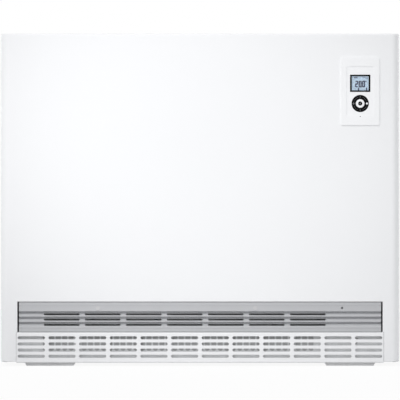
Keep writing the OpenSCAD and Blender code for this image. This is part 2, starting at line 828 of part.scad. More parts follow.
module bay_partition() {
    color("LightGray") difference() {
        union() {
            block([bay_x - liner_t, slab_y, pan_top], [bay_x, rear_y - fit, lining_top + mat_t / 2]);
            block([bay_x - eps, slab_y, pan_top], [bay_x + flange_w, rear_y - fit, pan_top + liner_t]);
        }
        for (z = element_z, s = [-1, 1]) rod_x([bay_x - 3, core_mid_y + s * element_off, z], bush_r + screw_play, 6);
        rod_x([bay_x - 3, core_mid_y, sensor_z], sensor_r + fit, 6);
        rod_x([bay_x - 3, fan_y, pan_top + duct_h - 12], 6, 6);
        block([bay_x - 2, slab_y - 1, pan_top - 1], [bay_x + flange_w + 1, screen_y + screen_flange + 1, guide_z]);
        for (y = [-60, 60]) translate([bay_x + flange_w / 2, y, pan_top - 1]) cylinder(r = hole_r, h = 4);
        foot_screw_room();
    }
}

// Air channel positions of the whole core, as [x, y]
channel_spots = [for (b = [0:brick_columns - 1], i = [0:channels - 1], s = [-1, 1])
    [core_x + (b + (i + 0.5) / channels) * brick_w, core_mid_y + s * channel_off]];

// Cuts the air channels from z0 up to z1
module air_channels(z0, z1) {
    for (p = channel_spots) block([p[0] - channel_w / 2, p[1] - channel_d / 2, z0], [p[0] + channel_w / 2, p[1] + channel_d / 2, z1]);
}

module core_deck() {
    color("Silver") difference() {
        union() {
            block([left_slab_x, liner_y, deck_z], [bay_x - liner_t, rear_y - fit, deck_top]);
            block([left_slab_x, lip_y, lip_z], [bay_x - liner_t, lip_y + deck_t, deck_z + eps]);
            block([left_slab_x, rear_y - fit - deck_t, deck_z - flange_w], [bay_x - liner_t, rear_y - fit, deck_z + eps]);
        }
        air_channels(deck_z - 1, deck_top + 1);
        for (x = grille_screw_x) rod_y([x, lip_y - 1, grille_screw_z], hole_r, 5);
    }
}

module insulation_floor() {
    color("Wheat") difference() {
        block([left_slab_x + fit, slab_y + fit, deck_top], [bay_x - liner_t - fit, rear_slab_y + ins_rear_t, core_z]);
        air_channels(deck_top - 1, core_z + 1);
    }
}

module insulation_front() {
    color("Wheat") block([left_slab_x + fit, slab_y + fit, core_z], [bay_x - liner_t - fit, slab_y + ins_front_t, core_top]);
}

module insulation_rear() {
    color("Wheat") block([left_slab_x + fit, rear_slab_y, core_z], [bay_x - liner_t - fit, rear_slab_y + ins_rear_t, core_top]);
}

module insulation_left() {
    color("Wheat") block([left_slab_x + fit, slab_y + ins_front_t + fit, core_z],
                         [left_slab_x + ins_side_t, rear_slab_y - fit, core_top]);
}

module insulation_right() {
    color("Wheat") difference() {
        block([right_slab_x, slab_y + ins_front_t + fit, core_z], [bay_x - liner_t - fit, rear_slab_y - fit, core_top]);
        for (z = element_z, s = [-1, 1])
            rod_x([right_slab_x - 1, core_mid_y + s * element_off, z], element_d / 2 + element_play, ins_side_t + 2);
        rod_x([right_slab_x - 1, core_mid_y, sensor_z], sensor_r + fit, ins_side_t + 2);
    }
}

module insulation_top() {
    color("Wheat") difference() {
        block([left_slab_x + fit, slab_y + fit, core_top], [bay_x - liner_t - fit, rear_slab_y + ins_rear_t, mat_z]);
        for (p = channel_spots) if (p[1] < core_mid_y)
            block([p[0] - channel_w / 2, p[1] - channel_d / 2, core_top - 1],
                  [p[0] + channel_w / 2, core_mid_y + channel_off + channel_d / 2, core_top + turn_h]);
    }
}

module insulation_mat() {
    x0 = left_slab_x + fit;
    x1 = bay_x - liner_t - fit;
    y0 = seam_y + sheet_t + fit;
    y1 = rear_slab_y + mat_step;
    color("Khaki") translate([(x0 + x1) / 2, (y0 + y1) / 2, mat_z]) linear_extrude(mat_t) rounded(x1 - x0, y1 - y0, 14);
}

module storage_brick() {
    color("SaddleBrown") difference() {
        block([brick_gap, brick_gap, brick_gap / 2], [brick_w - brick_gap, brick_d - brick_gap, brick_h - brick_gap / 2]);
        for (i = [0:channels - 1], s = [-1, 1])
            translate([(i + 0.5) * brick_w / channels, brick_d / 2 + s * channel_off, brick_h / 2])
                cube([channel_w, channel_d, brick_h + 2], center = true);
    }
}

module storage_bricks() {
    for (c = [0:brick_columns - 1], k = [0:brick_layers - 1]) color("SaddleBrown") difference() {
        translate([core_x + c * brick_w, core_y, core_z + k * brick_h]) storage_brick();
        for (s = [-1, 1]) rod_x([c == 0 ? element_bend_x : core_x + c * brick_w - 1,
            core_mid_y + s * element_off, core_z + (k + 1 - k % 2) * brick_h], element_d / 2 + element_play, brick_w + 2, $fn = 24);
        if (c == 0) element_turn(core_z + (k + 1 - k % 2) * brick_h, element_d / 2 + element_play);
        if (c == brick_columns - 1 && k >= brick_layers - 2)
            rod_x([core_x + core_w - sensor_in, core_mid_y, sensor_z], sensor_r + fit, sensor_in + 1);
    }
}

// Half turn that joins a heating element's two legs, at height z and with tube radius r
module element_turn(z, r) {
    translate([element_bend_x, core_mid_y, z]) rotate([0, 0, 90])
        rotate_extrude(angle = 180) translate([element_off, 0]) circle(r, $fn = 24);
}

module heating_elements() {
    for (z = element_z) color("DimGray") union() {
        for (s = [-1, 1]) rod_x([element_bend_x, core_mid_y + s * element_off, z], element_d / 2, element_end_x - element_bend_x);
        translate([element_bend_x, core_mid_y, z]) rotate([0, 0, 90])
            rotate_extrude(angle = 180) translate([element_off, 0]) circle(element_d / 2);
    }
}

module element_bushes() {
    for (z = element_z, s = [-1, 1]) color("Ivory") difference() {
        union() {
            rod_x([bay_x, core_mid_y + s * element_off, z], bush_r + bush_lip, 2 * bush_lip);
            rod_x([bay_x - liner_t, core_mid_y + s * element_off, z], bush_r, bush_l);
        }
        rod_x([bay_x - liner_t - 1, core_mid_y + s * element_off, z], element_d / 2 + run_fit, bush_l + 2);
    }
}

module element_studs() {
    for (z = element_z, s = [-1, 1]) color("Goldenrod") translate([element_end_x, core_mid_y + s * element_off, z])
        rotate([0, 90, 0]) {
            cylinder(r = stud_r, h = stud_l);
            for (x = [nut_t - 0.2, nut_t + nut_t + lug_t]) translate([0, 0, x]) cylinder(r = 2 * stud_r + 0.2, h = nut_t, $fn = 6);
        }
}

module core_sensor() {
    color("Silver") {
        rod_x([core_x + core_w - sensor_in + 2, core_mid_y, sensor_z], sensor_r, sensor_in - 2 + bay_x - core_x - core_w + 12);
        rod_x([bay_x, core_mid_y, sensor_z], sensor_r + 3, 4);
    }
}

// ---- Fan ----

module fan_scroll() {
    x0 = plate_left_x + liner_t + 0.2;
    top = deck_z - 0.3;
    low = fan_z - scroll_r - liner_t;
    color("Silver") along_x(x0, plate_right_x - 0.2 - x0) difference() {
        union() {
            intersection() {
                translate([fan_y, fan_z]) circle(scroll_r + liner_t);
                translate([fan_y, low]) square([scroll_r + liner_t, fan_z - low]);
            }
            translate([fan_y + scroll_r, fan_z]) square([liner_t, top - fan_z]);
            translate([fan_y + scroll_r, top - liner_t]) square([flange_w, liner_t]);
            translate([fan_y - 24, low]) square([24, liner_t]);
            translate([fan_y - 24, pan_top]) square([liner_t, low - pan_top + liner_t]);
            translate([fan_y - 24 - flange_w, pan_top]) square([flange_w + liner_t, liner_t]);
        }
        intersection() {
            translate([fan_y, fan_z]) circle(scroll_r);
            translate([fan_y, low]) square(scroll_r + liner_t);
        }
    }
}

module air_guide() {
    x0 = left_slab_x + 0.3;
    x1 = bay_x - liner_t - 0.3;
    pane = (plate_right_x - plate_left_x) / wheel_sections;
    color("LightGray") {
        difference() {
            union() {
                block([x0, lip_y, guide_z], [x1, tongue_y + liner_t, guide_z + liner_t]);
                block([x0, tongue_y, guide_z], [x1, tongue_y + liner_t, deck_z - 0.3]);
                block([x0, tongue_y, deck_z - 0.3 - liner_t], [x1, tongue_y + flange_w / 2, deck_z - 0.3]);
            }
            for (i = [0:wheel_sections - 1])
                block([plate_left_x + i * pane + 14, tongue_y - 1, window_z],
                      [plate_left_x + (i + 1) * pane - 14, tongue_y + 2, window_z + window_h]);
        }
        for (x = damper_lug_x) difference() {
            union() {
                block([x, damper_y, damper_z - 5], [x + 1.2, tongue_y + eps, damper_z + 5]);
                rod_x([x, damper_y, damper_z], 5, 1.2);
            }
            rod_x([x - 1, damper_y, damper_z], damper_pin_r + run_fit, 4);
        }
    }
}

// End plate of the fan, from x towards +X, with a hole of radius r round the shaft
module fan_end_plate(x, r) {
    difference() {
        union() {
            block([x, tongue_y + 2, pan_top], [x + liner_t, rear_y - 4, deck_z - 2]);
            block([x, tongue_y + 8, deck_z - 3], [x + liner_t, rear_y - 4, deck_z - 0.3]);
            block([x, tongue_y + 2, pan_top], [x + flange_w, rear_y - 4, pan_top + liner_t]);
            block([x, tongue_y + 8, deck_z - 0.3 - liner_t], [x + flange_w, rear_y - 4, deck_z - 0.3]);
        }
        rod_x([x - 1, fan_y, fan_z], r, 3);
    }
}

module fan_end_plate_left() {
    color("Silver") mirror([1, 0, 0]) difference() {
        fan_end_plate(-plate_left_x - liner_t, bearing_seat_r);
        for (y = [40, 100]) translate([-plate_left_x + flange_w / 2, y, pan_top - 1]) cylinder(r = hole_r, h = 3);
    }
}

module fan_end_plate_right() {
    color("Silver") difference() {
        fan_end_plate(plate_right_x, shaft_r + 4);
        for (s = [-1, 1]) rod_x([plate_right_x - 1, fan_y + s * post_y, fan_z], 1.6, 3);
        for (y = [40, 100]) translate([plate_right_x + flange_w / 2 + 1, y, pan_top - 1]) cylinder(r = hole_r, h = 3);
    }
}

// One blade's section, curved, between the wheel's bore and its rim
module blade() {
    mid = (wheel_r + wheel_bore_r) / 2;
    intersection() {
        difference() {
            circle(wheel_r - 0.2);
            circle(wheel_bore_r);
        }
        translate([mid - 1, -blade_r]) difference() {
            circle(blade_r + blade_t / 2, $fn = 36);
            circle(blade_r - blade_t / 2, $fn = 36);
        }
        translate([wheel_bore_r - 2, -blade_r * 0.8]) square([wheel_r, blade_r * 2]);
    }
}

module fan_wheel() {
    pitch = (wheel_l - disc_t) / wheel_sections;
    color("DimGray") difference() {
        union() {
            along_x(wheel_x, wheel_l) translate([fan_y, fan_z])
                for (i = [0:blades - 1]) rotate(i * 360 / blades) blade();
            for (i = [0:wheel_sections]) translate([wheel_x + i * pitch, fan_y, fan_z]) rotate([0, 90, 0]) difference() {
                cylinder(r = wheel_r, h = disc_t);
                if (i > 0 && i < wheel_sections) translate([0, 0, -1]) cylinder(r = wheel_bore_r - 3, h = 5);
            }
            rod_x([wheel_x, fan_y, fan_z], hub_r, hub_l);
            rod_x([wheel_x + wheel_l - hub_l, fan_y, fan_z], hub_r, hub_l);
        }
        for (x = [wheel_x - 1, wheel_x + wheel_l - hub_l - 1]) rod_x([x, fan_y, fan_z], shaft_r + 0.02, hub_l + 2);
    }
}

module fan_shaft() {
    end_x = wheel_x + wheel_l;
    color("Silver") {
        rod_x([wheel_x - 17, fan_y, fan_z], shaft_r, 17 + hub_l - 1);
        rod_x([end_x - hub_l + 1, fan_y, fan_z], shaft_r, motor_x + stack_l + 14 - end_x + hub_l - 1);
    }
}

module fan_end_bearing() {
    color("DarkSlateGray") difference() {
        union() {
            rod_x([plate_left_x - 5, fan_y, fan_z], bearing_seat_r - 0.1, 10);
            rod_x([plate_left_x - 6, fan_y, fan_z], bearing_seat_r + 2.5, 5.9);
            rod_x([plate_left_x + liner_t + 0.1, fan_y, fan_z], bearing_seat_r + 2.5, 2.5);
        }
        rod_x([plate_left_x - 8, fan_y, fan_z], shaft_r + run_fit, 20);
    }
}

module motor_stator() {
    color("SlateGray") along_x(motor_x, stack_l) difference() {
        translate([fan_y - stator_w / 2, fan_z - stator_low]) square([stator_w, stator_low + stator_up]);
        translate([fan_y, fan_z]) circle(stator_r);
        translate([fan_y - stator_w / 2 + limb_w, fan_z + stator_r + 5])
            square([stator_w - 2 * limb_w, stator_up - limb_w - stator_r - 5]);
        for (s = [-1, 1]) translate([fan_y + s * post_y, fan_z]) circle(1.7);
        for (s = [-1, 1]) translate([fan_y + s * (stator_r + 1.5), fan_z + s * 5]) square([4, 2.4], center = true);
    }
}

module motor_coil() {
    half = stator_w / 2 - limb_w - 1.5;
    limb_z = fan_z + stator_up - limb_w / 2;
    color("Peru") difference() {
        union() {
            along_x(motor_x - 8, stack_l + 16) translate([fan_y, limb_z]) square([2 * half - 4, 26], center = true);
            for (s = [-1, 1]) along_x(motor_x - 9, stack_l + 18) translate([fan_y + s * (half - 1), limb_z])
                square([2, 28], center = true);
        }
        along_x(motor_x - 0.4, stack_l + 0.8) translate([fan_y, limb_z]) square([3 * half, limb_w + 0.8], center = true);
    }
}

module motor_rotor() {
    color("Gray") difference() {
        rod_x([motor_x, fan_y, fan_z], stator_r - bore_gap, stack_l);
        rod_x([motor_x - 1, fan_y, fan_z], shaft_r + 0.02, stack_l + 2);
    }
}

// Bearing bridge across the motor's bore, seen from the stator's face outwards
module motor_bridge() {
    difference() {
        union() {
            along_x(5, 2) translate([fan_y, fan_z]) square([2 * post_y + 12, 12], center = true);
            for (s = [-1, 1]) along_x(0.1, 5) translate([fan_y + s * post_y, fan_z]) square([10, 12], center = true);
            rod_x([3, fan_y, fan_z], 7, 8);
        }
        rod_x([0, fan_y, fan_z], shaft_r + run_fit, 20);
        for (s = [-1, 1]) rod_x([-1, fan_y + s * post_y, fan_z], 1.7, 12);
    }
}

module motor_bridges() {
    color("Silver") {
        translate([motor_x + stack_l, 0, 0]) motor_bridge();
        translate([motor_x, 0, 0]) mirror([1, 0, 0]) motor_bridge();
        for (s = [-1, 1]) difference() {
            rod_x([plate_right_x + liner_t, fan_y + s * post_y, fan_z], 4, motor_x - 7.1 - plate_right_x - liner_t);
            rod_x([plate_right_x, fan_y + s * post_y, fan_z], 1.6, 40);
        }
    }
}

module air_damper() {
    x0 = damper_lug_x[0] + 1.7;
    x1 = damper_lug_x[1] - 0.5;
    color("Silver") {
        rod_x([x0 - damper_pin_out, damper_y, damper_z], damper_pin_r, x1 - x0 + 2 * damper_pin_out);
        block([x0, damper_y + 0.9, window_z - damper_lap], [x1, damper_y + 1.9, damper_z]);
        block([x0, damper_y - 3, window_z - damper_lap], [x1, damper_y + 1, window_z - damper_lap + 1]);
        block([horn_x, damper_y - 8.5, damper_z - 0.6], [horn_x + 14, damper_y, damper_z + 0.6]);
    }
}

module bimetal_strip() {
    tip_y = damper_y - 11;
    high = damper_z - 1.2;
    color("DarkGoldenrod") {
        block([horn_x + 2, tip_y - 46, high - 1], [horn_x + 12, tip_y + 4, high]);
        block([horn_x + 2, tip_y - 46, high - eps], [horn_x + 12, tip_y - 45, deck_z]);
        block([horn_x + 2, tip_y - 58, deck_z - 1], [horn_x + 12, tip_y - 45, deck_z]);
    }
}

// ---- Control unit ----

module control_bezel() {
    back_face = bezel_y + housing_d;
    color("White") difference() {
        union() {
            facing(bezel_y, bezel_proud) translate([control_x, control_z]) rounded(bezel_w, bezel_h, 3);
            facing(face_y - eps, wall_back_y - face_y + eps) translate([control_x, control_z]) rounded(housing_w, housing_h, 3);
            facing(wall_back_y - eps, back_face - wall_back_y) translate([control_x, control_z]) difference() {
                rounded(housing_w, housing_h, 3);
                square([housing_w - 2 * housing_t, housing_h - 2 * housing_t], center = true);
            }
            for (s = [-1, 1]) difference() {
                block([control_x + s * ear_x - (s < 0 ? ear_t : 0), wall_back_y - eps, ring_z - 3],
                      [control_x + s * ear_x + (s < 0 ? 0 : ear_t), pivot_y + 1.6, ring_z + 3]);
                rod_x([control_x + s * ear_x - ear_t - 1, pivot_y, ring_z], pin_r + run_fit, 2 * ear_t + 2, $fn = 24);
            }
            for (p = frame_posts) rod_y([control_x + p[0], wall_back_y - eps, control_z + p[1]], post_r, frame_y - wall_back_y);
        }
        facing(bezel_y - 1, field_d + 1) translate([control_x, control_z]) rounded(field_w, field_h, 2);
        facing(bezel_y - 1, 10) translate([control_x, display_z])
            square([display_w + 0.3, display_h + 0.3], center = true);
        rod_y([control_x, bezel_y - 1, ring_z], ring_r + ring_gap, 1 + wall_back_y - bezel_y);
        rod_y([control_x, bezel_y - 1, field_bottom_dot_z], 0.9, 10);
    }
}

module display_frame() {
    color("Black") difference() {
        union() {
            facing(field_y - 0.4, housing_t + 1.4) translate([control_x, display_z])
                square([display_w, display_h], center = true);
            facing(wall_back_y + 0.2, 0.8) translate([control_x, display_z]) square([display_w + 4, display_h + 2.5], center = true);
        }
        facing(field_y - 1, 5) translate([control_x, display_z])
            square([display_w - 2 * display_border, display_h - 2 * display_border + 0.6], center = true);
        facing(field_y + 1.1, 5) translate([control_x, display_z])
            square([display_w - 2 * display_border + 3, display_h - 2 * display_border + 3.6], center = true);
    }
}

module display_window() {
    color("LightSteelBlue") facing(field_y + 1.1, 0.9) translate([control_x, display_z])
        square([display_w - 2 * display_border + 2.8, display_h - 2 * display_border + 3.4], center = true);
}

module display_module() {
    color("DarkSlateGray") {
        facing(wall_back_y + 1.1, 2.2) translate([control_x, display_z]) square([display_w + 2, display_h + 2], center = true);
        facing(wall_back_y + 3.3 - eps, 1.2) translate([control_x, display_z]) square([display_w - 4, display_h - 6], center = true);
    }
}

module control_ring() {
    color("Black") difference() {
        union() {
            translate([control_x, ring_front_y, ring_z]) rotate([-90, 0, 0]) rotate_extrude()
                polygon([[ring_bore_r, 0.3], [ring_bore_r + 0.3, 0], [ring_r - 0.8, 0], [ring_r, 0.7], [ring_r, ring_t], [ring_bore_r, ring_t]]);
            for (s = [-1, 1]) block([control_x - 2.5, ring_back_y - eps, ring_z + s * lug_mid - 1.1],
                                    [control_x + 2.5, pivot_y + 1.35, ring_z + s * lug_mid + 1.1]);
            for (a = [45:90:315]) rod_y([control_x + peg_r * cos(a), ring_back_y - eps, ring_z + peg_r * sin(a)],
                                        0.9, peg_y - ring_back_y, $fn = 24);
        }
        translate([control_x, pivot_y, ring_z - 20]) cylinder(r = pin_r + run_fit, h = 40, $fn = 24);
    }
}

module ring_gimbal() {
    color("Silver") {
        difference() {
            rod_y([control_x, pivot_y - gimbal_t / 2, ring_z], gimbal_r, gimbal_t);
            rod_y([control_x, pivot_y - gimbal_t, ring_z], gimbal_bore_r, 2 * gimbal_t);
        }
        for (s = [-1, 1]) {
            rod_x([control_x + s * (gimbal_r + ear_x + 1) / 2 - gimbal_pin_l / 2, pivot_y, ring_z], pin_r, gimbal_pin_l, $fn = 24);
            translate([control_x, pivot_y, ring_z + s * (gimbal_r + 0.9) - 1.6]) cylinder(r = pin_r, h = 3.2, $fn = 24);
        }
    }
}

module middle_button() {
    color("White") difference() {
        union() {
            translate([control_x, button_y, ring_z]) rotate([-90, 0, 0]) rotate_extrude()
                polygon([[0, 0], [button_r - 0.7, 0], [button_r, 0.6], [button_r, 2], [0, 2]]);
            rod_y([control_x, button_y + 2 - eps, ring_z], stem_r, button_back_y - button_y - 2);
            rod_y([control_x, frame_y + frame_t + 0.15, ring_z], stem_r + 0.7, button_back_y - frame_y - frame_t - 0.15);
        }
        rod_y([control_x, button_y - 1, ring_z], cap_r + 0.05, 1.8);
    }
}

module button_cap() {
    color("Black") rod_y([control_x, button_y - 0.05, ring_z], cap_r, 0.84);
}

module key_frame() {
    color("Gainsboro") difference() {
        facing(frame_y, frame_t) translate([control_x, ring_z])
            square([housing_w - 2 * housing_t - 1, 46], center = true);
        rod_y([control_x, frame_y - 1, ring_z], stem_r + run_fit, 5);
        for (a = [45:90:315]) rod_y([control_x + peg_r * cos(a), frame_y - 1, ring_z + peg_r * sin(a)], 1.6, 5, $fn = 24);
        for (p = frame_posts) if (p[1] < 0)
            rod_y([control_x + p[0], frame_y - 1, control_z + p[1]], 0.9, 5, $fn = 24);
    }
}

module button_mat() {
    color("DimGray") {
        facing(board_y - 1, 1) translate([control_x, ring_z]) rounded(42, 42, 4);
        rod_y([control_x, mat_top_y, ring_z], 3.6, board_y - 1 - mat_top_y + eps);
        for (a = [45:90:315]) rod_y([control_x + peg_r * cos(a), mat_top_y, ring_z + peg_r * sin(a)],
                                    1.8, board_y - 1 - mat_top_y + eps, $fn = 24);
    }
}

module control_board() {
    color("DarkGreen") {
        facing(board_y, board_t) translate([control_x, control_z])
            square([housing_w - 2 * housing_t - 1, housing_h - 2 * housing_t - 1], center = true);
        facing(board_y + board_t - eps, 1.6) translate([control_x - 8, control_z]) square([14, 14], center = true);
        facing(board_y + board_t - eps, 5) translate([control_x + 16, control_z + 30]) square([16, 8], center = true);
        facing(board_y + board_t - eps, 5) translate([control_x - 4, control_z - 48]) square([30, 6], center = true);
        rod_y([control_x - 20, board_y + board_t - eps, control_z + 36], 5, 4.5);
    }
}

module control_back() {
    y = bezel_y + housing_d;
    color("Gainsboro") difference() {
        union() {
            facing(y, 1.6) translate([control_x, control_z]) rounded(housing_w, housing_h, 3);
            facing(y - 2, 2.01) translate([control_x, control_z]) difference() {
                square([housing_w - 2 * housing_t - 0.4, housing_h - 2 * housing_t - 0.4], center = true);
                square([housing_w - 4 * housing_t - 0.4, housing_h - 4 * housing_t - 0.4], center = true);
            }
        }
        facing(y - 1, 4) for (i = [-3:3]) translate([control_x, control_z + 20 + i * 6]) obround(40, 2.4, $fn = 24);
        facing(y - 1, 4) translate([control_x - 4, control_z - 48]) square([32, 8], center = true);
    }
}

// ---- Electrical bay ----

module charge_controller() {
    y0 = min(core_mid_y + element_off + controller_gap, rear_y - 2 * fit - controller_w);
    case_h = controller_h - 2 * controller_lip - terminal_h;
    color("Gainsboro") {
        block([bay_x, y0, controller_z], [bay_x + plate_t, y0 + controller_w, controller_z + controller_h]);
        block([bay_x + plate_t - eps, y0 + plate_t, controller_z + controller_lip],
              [bay_x + controller_d, y0 + controller_w - plate_t, controller_z + controller_lip + case_h]);
        for (i = [0:terminals - 2]) block([bay_x + plate_t - eps, y0 + 2 * plate_t + i * terminal_pitch, controller_z + controller_h - terminal_h],
            [bay_x + controller_d / 2, y0 + plate_t + (i + 0.9) * terminal_pitch, controller_z + controller_h - plate_t]);
        for (i = [-1:1]) rod_x([bay_x + controller_d - eps, y0 + controller_w / 2 + i * controller_w / 4,
            controller_z + 2.4 * controller_lip], controller_lip / 2, controller_lip / 2);
    }
}

module mains_terminals() {
    x0 = bay_x + bay_w / 2 - terminals * terminal_pitch / 2;
    x1 = x0 + terminals * terminal_pitch;
    back = rear_y - fit;
    seat = terminal_z - terminal_h / 2;
    color("Ivory") {
        block([x0 - terminal_pitch / 3, back - terminal_l - tray_gap, seat - plate_t], [x1 + terminal_pitch / 3, back, seat]);
        block([x0 - terminal_pitch / 3, back - plate_t, seat - tray_gap], [x1 + terminal_pitch / 3, back, seat]);
        for (i = [0:terminals - 1]) difference() {
            block([x0 + (i + 0.04) * terminal_pitch, back - terminal_l - tray_gap / 2, seat - eps],
                  [x0 + (i + 0.96) * terminal_pitch, back - tray_gap / 2, seat + terminal_h]);
            translate([x0 + (i + 0.5) * terminal_pitch, terminal_y, seat + terminal_h / 2]) cylinder(r = terminal_pitch / 4, h = terminal_h);
            rod_y([x0 + (i + 0.5) * terminal_pitch, back - tray_gap / 2 - 3, seat + terminal_h / 3], terminal_pitch / 5, 4);
        }
    }
}

module safety_cutout() {
    color("Black") difference() {
        union() {
            rod_x([bay_x, cutout_y, cutout_z], 14, 7);
            rod_x([bay_x + 7 - eps, cutout_y, cutout_z], 5, 6);
            block([bay_x, cutout_y - 20, cutout_z - 5], [bay_x + 1, cutout_y + 20, cutout_z + 5]);
            for (s = [-1, 1]) block([bay_x + 7 - eps, cutout_y + s * 9 - 0.4, cutout_z - 3], [bay_x + 15, cutout_y + s * 9 + 0.4, cutout_z + 3]);
        }
        rod_x([bay_x + 4, cutout_y, cutout_z], reset_r + run_fit, 20, $fn = 32);
    }
}

module reset_button() {
    color("Red") rod_x([bay_x + 5.6, cutout_y, cutout_z], reset_r, 11, $fn = 32);
}

module cable_grommet() {
    z = pan_top + entry_h;
    r = entry_r + entry_wall;
    color("DimGray") difference() {
        union() {
            rod_y([entry_x, back_y - sheet_t - 5, z], r - 0.2, 8.1);
            rod_y([entry_x, back_y + 0.1, z], r + 3, 1.8);
            rod_y([entry_x, back_y - sheet_t - 3, z], r + 3, 2.9);
        }
        rod_y([entry_x, back_y - 20, z], entry_r, 40);
    }
}

// Lead that runs through a list of points, each stretch a little long so that its neighbours meet
function unit(v) = v / norm(v);
// A line of points with each corner eased into a curve that starts k before it
function eased(p, k) = [p[0], for (i = [1:len(p) - 2])
    let (a = p[i] + k * unit(p[i - 1] - p[i]), b = p[i] + k * unit(p[i + 1] - p[i]))
    each [for (t = [0:0.25:1]) (1 - t) * (1 - t) * a + 2 * t * (1 - t) * p[i] + t * t * b], p[len(p) - 1]];

// One unbroken lead along the eased line, as rings of corners joined in order
module lead(points, r, sides = 12) {
    p = eased(points, lead_ease);
    n = len(p);
    rings = [for (i = [0:n - 1])
        let (d = unit(p[min(i + 1, n - 1)] - p[max(i - 1, 0)]), u = unit(cross([1, 0, 0], d)), v = cross(d, u))
        each [for (k = [0:sides - 1]) p[i] + r * (cos(k * 360 / sides) * u + sin(k * 360 / sides) * v)]];
    sides_faces = [for (i = [0:n - 2], k = [0:sides - 1])
        let (a = i * sides + k, b = i * sides + (k + 1) % sides) each [[a, a + sides, b], [b, a + sides, b + sides]]];
    polyhedron(rings, concat([[for (k = [0:sides - 1]) k]],
        [[for (k = [sides - 1:-1:0]) (n - 1) * sides + k]], sides_faces));
}

module power_leads() {
    x = element_end_x + 2 * nut_t + lug_t / 2;
    side = 3.2 * stud_r;
    top = len(element_z) - 1;
    for (s = [-1, 1]) color(s < 0 ? "Brown" : "Blue") {
        y = core_mid_y + s * element_off + side;
        drop_x = bay_x + bay_w / 2 - terminal_pitch * (s + 0.5);
        drop_y = y + controller_gap + side;
        lead([[x, y, element_z[top]], [x, y, element_z[0] - brick_h / 3], [x + bush_r, drop_y, element_z[0] - brick_h / 1.6],
              [drop_x, drop_y + bush_r, terminal_z + brick_h * 0.7], [drop_x, terminal_y, terminal_z + brick_h * 0.35],
              [drop_x, terminal_y, terminal_z + terminal_h / 2 + 1]], lead_r);
        for (z = element_z) difference() {
            union() {
                rod_x([x - lug_t / 2, y - side, z], 2 * stud_r, lug_t);
                block([x - lug_t / 2, y - side, z - stud_r], [x + lug_t / 2, y, z + stud_r]);
            }
            rod_x([x - lug_t, y - side, z], stud_r + 0.1, 2 * lug_t);
        }
    }
}

module room_sensor() {
    color("Ivory") {
        rod_y([room_sensor_x, screen_y - 2, room_sensor_z], 2.5, 14);
        rod_y([room_sensor_x, screen_y + screen_t + 0.1, room_sensor_z], room_hole_r + 2, 2);
    }
}

module screws() {
    color("Silver") {
        for (x = grille_screw_x) screw_y([x, grille_y, grille_screw_z], lip_y + deck_t - grille_y + 1);
        both_sides() {
            for (z = side_screw_z) screw_y([seam_screw_x, face_y + front_wrap - sheet_t, z], 6);
            for (z = rear_screw_z) rear_screw([seam_screw_x, z]);
            rear_screw([pan_rear_x, pan_top + pan_flange_h / 2]);
            rear_screw([lid_screw_x, lid_screw_z]);
            for (y = pan_screw_y) translate([seam_screw_x, y, foot_h - screw_head_h]) {
                cylinder(r = screw_head_r, h = screw_head_h);
                cylinder(r = screw_r, h = screw_head_h + 6);
            }
            for (p = foot_screws) translate([p[0], p[1], pan_top]) {
                cylinder(r = screw_head_r, h = screw_head_h);
                translate([0, 0, -4.6]) cylinder(r = screw_r, h = 5);
            }
        }
    }
}

// Screw driven from behind, with its head on the rear panel
module rear_screw(p) {
    rod_y([p[0], back_y, p[1]], screw_head_r, screw_head_h);
    rod_y([p[0], back_y - 7, p[1]], screw_r, 7.5);
}

front_panel();
side_panel_left();
side_panel_right();
rear_panel();
top_cover();
base_pan();
foot_left();
foot_right();
air_outlet_grille();
intake_strip();
intake_screen();
inner_front_panel();
inner_side_left();
bay_partition();
core_deck();
insulation_floor();
insulation_front();
insulation_rear();
insulation_left();
insulation_right();
insulation_top();
insulation_mat();
storage_bricks();
heating_elements();
element_bushes();
element_studs();
core_sensor();
fan_scroll();
air_guide();
fan_end_plate_left();
fan_end_plate_right();
fan_wheel();
fan_shaft();
fan_end_bearing();
motor_stator();
motor_coil();
motor_rotor();
motor_bridges();
air_damper();
bimetal_strip();
control_bezel();
display_frame();
display_window();
display_module();
control_ring();
ring_gimbal();
middle_button();
button_cap();
key_frame();
button_mat();
control_board();
control_back();
charge_controller();
mains_terminals();
safety_cutout();
reset_button();
cable_grommet();
power_leads();
room_sensor();
screws();
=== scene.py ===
import json
import math

import bmesh
import bpy
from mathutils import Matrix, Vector


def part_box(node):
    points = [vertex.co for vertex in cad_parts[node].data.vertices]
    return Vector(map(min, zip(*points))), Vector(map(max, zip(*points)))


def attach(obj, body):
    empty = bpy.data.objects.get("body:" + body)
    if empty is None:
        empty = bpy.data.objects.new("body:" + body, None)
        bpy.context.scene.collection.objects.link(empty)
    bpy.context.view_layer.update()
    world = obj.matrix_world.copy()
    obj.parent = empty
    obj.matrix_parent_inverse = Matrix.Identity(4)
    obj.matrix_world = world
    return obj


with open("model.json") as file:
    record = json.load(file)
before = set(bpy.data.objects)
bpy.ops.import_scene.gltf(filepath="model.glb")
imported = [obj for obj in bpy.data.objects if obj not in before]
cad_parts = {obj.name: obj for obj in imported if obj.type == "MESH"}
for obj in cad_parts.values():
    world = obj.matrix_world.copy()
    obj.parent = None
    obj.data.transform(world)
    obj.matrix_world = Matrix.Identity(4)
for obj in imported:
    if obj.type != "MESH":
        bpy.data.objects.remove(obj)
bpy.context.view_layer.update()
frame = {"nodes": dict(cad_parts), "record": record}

MM = 0.001
scene = bpy.context.scene
nodes = frame["nodes"]
slot_of = {s["node"]: s["material_slot"] for s in frame["record"]["subparts"]}


# ---- Camera, lamps and ground ----

# Camera: its sensor in mm, the casing's front, its distance from that, the height it looks at and the
# width that it sees at the front
SENSOR = 36.0
FRONT_Y = -0.123
AWAY = 12.0
MID_Z = 0.3245
SEEN_W = 0.7828
CLIP_END = 60.0

# World: what lights the object
WORLD_LIT = (0.97, 0.985, 1.0)
WORLD_STRENGTH = 0.44

